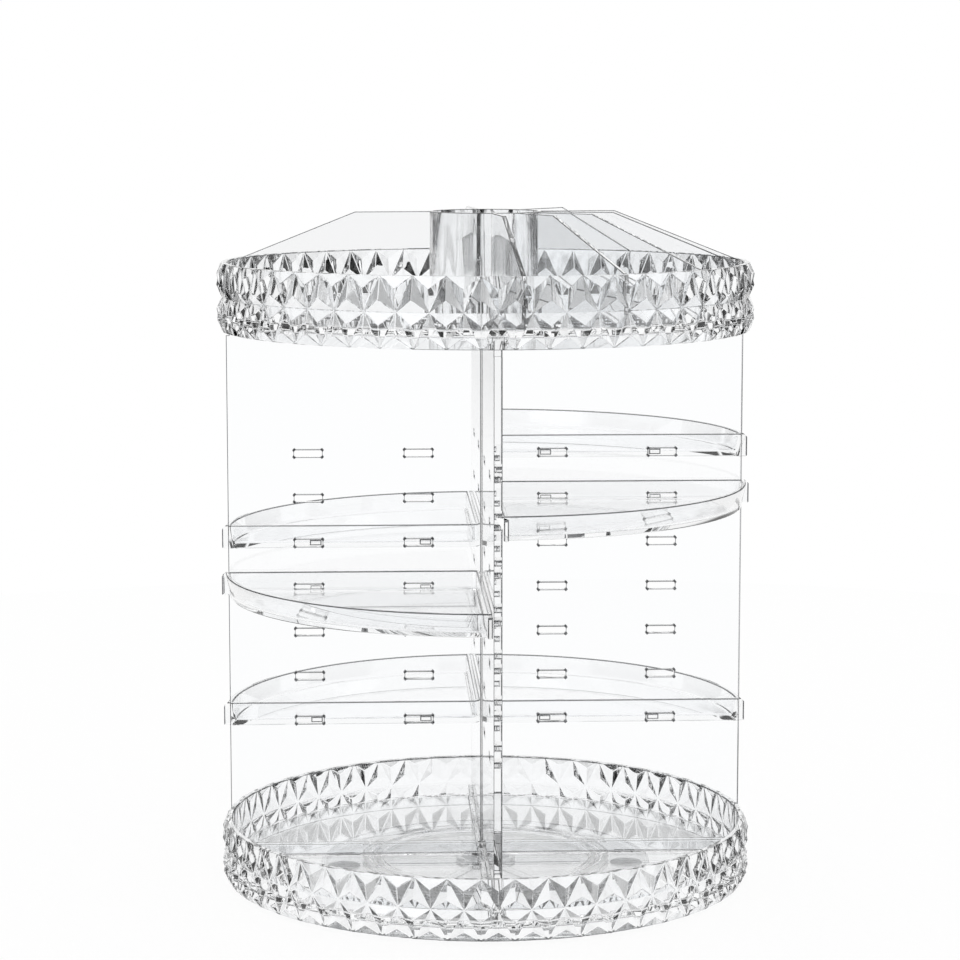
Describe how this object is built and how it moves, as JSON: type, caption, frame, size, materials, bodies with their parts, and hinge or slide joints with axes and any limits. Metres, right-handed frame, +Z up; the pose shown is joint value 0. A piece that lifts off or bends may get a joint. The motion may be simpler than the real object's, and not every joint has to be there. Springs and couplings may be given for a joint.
{
  "type": "rotating makeup organizer",
  "caption": "Clear plastic carousel: crystal-cut round trays above and below crossed slotted panels, with lift-out quarter shelves and a brush divider, turning on a ball race.",
  "frame": {"origin": "on the turning axis, in the plane of the table that the pads stand on", "axes": "+Z up along the turning axis, -Y towards the front, +X to the right"},
  "size_m": [0.23, 0.23, 0.2905],
  "materials": {
    "clear_rim_plastic": "clear polished polystyrene, cut facets",
    "clear_panel_plastic": "clear polished polystyrene sheet",
    "clear_tray_plastic": "clear polished polystyrene",
    "clear_divider_plastic": "clear polished polystyrene",
    "clear_foot_plastic": "clear moulded plastic",
    "white_cage_plastic": "matt natural nylon",
    "pad_rubber": "matt pale rubber",
    "bearing_steel": "polished steel",
    "plated_steel": "bright zinc plate"
  },
  "bodies": {
    "foot": {"turntable_foot": "clear_foot_plastic", "foot_pads": "pad_rubber"},
    "cage": {"ball_cage": "white_cage_plastic", "bearing_balls": "bearing_steel"},
    "carousel": {"base_tray": "clear_rim_plastic", "front_panel": "clear_panel_plastic", "right_panel": "clear_panel_plastic", "rear_panel": "clear_panel_plastic", "left_panel": "clear_panel_plastic", "pivot_washer": "plated_steel", "pivot_screw": "plated_steel"},
    "top": {"top_tray": "clear_rim_plastic"},
    "divider": {"divider_insert": "clear_divider_plastic"},
    "front_left_tray_body": {"front_left_tray": "clear_tray_plastic"},
    "front_right_tray_body": {"front_right_tray": "clear_tray_plastic"},
    "rear_left_tray_body": {"rear_left_tray": "clear_tray_plastic"},
    "rear_right_tray_body": {"rear_right_tray": "clear_tray_plastic"},
    "rear_left_low_tray_body": {"rear_left_low_tray": "clear_tray_plastic"},
    "rear_right_low_tray_body": {"rear_right_low_tray": "clear_tray_plastic"}
  },
  "joints": [
    {"name": "base_spin", "type": "hinge", "parent": "foot", "child": "carousel", "pos_m": [0, 0, 0], "axis": [0, 0, 1], "continuous": true},
    {"name": "cage_spin", "type": "hinge", "parent": "foot", "child": "cage", "pos_m": [0, 0, 0], "axis": [0, 0, 1], "continuous": true},
    {"name": "top_lift", "type": "slide", "parent": "carousel", "child": "top", "axis": [0, 0, 1], "range_m": [0, 0.08]},
    {"name": "divider_lift", "type": "slide", "parent": "top", "child": "divider", "axis": [0, 0, 1], "range_m": [0, 0.06]},
    {"name": "front_left_tray_draw", "type": "slide", "parent": "carousel", "child": "front_left_tray_body", "axis": [-0.7071, -0.7071, 0], "range_m": [0, 0.12]},
    {"name": "front_right_tray_draw", "type": "slide", "parent": "carousel", "child": "front_right_tray_body", "axis": [0.7071, -0.7071, 0], "range_m": [0, 0.12]},
    {"name": "rear_left_tray_draw", "type": "slide", "parent": "carousel", "child": "rear_left_tray_body", "axis": [-0.7071, 0.7071, 0], "range_m": [0, 0.12]},
    {"name": "rear_right_tray_draw", "type": "slide", "parent": "carousel", "child": "rear_right_tray_body", "axis": [0.7071, 0.7071, 0], "range_m": [0, 0.12]},
    {"name": "rear_left_low_tray_draw", "type": "slide", "parent": "carousel", "child": "rear_left_low_tray_body", "axis": [-0.7071, 0.7071, 0], "range_m": [0, 0.12]},
    {"name": "rear_right_low_tray_draw", "type": "slide", "parent": "carousel", "child": "rear_right_low_tray_body", "axis": [0.7071, 0.7071, 0], "range_m": [0, 0.12]}
  ],
  "couplings": [
    {"joint": "cage_spin", "follows": "base_spin", "ratio": 0.5}
  ]
}
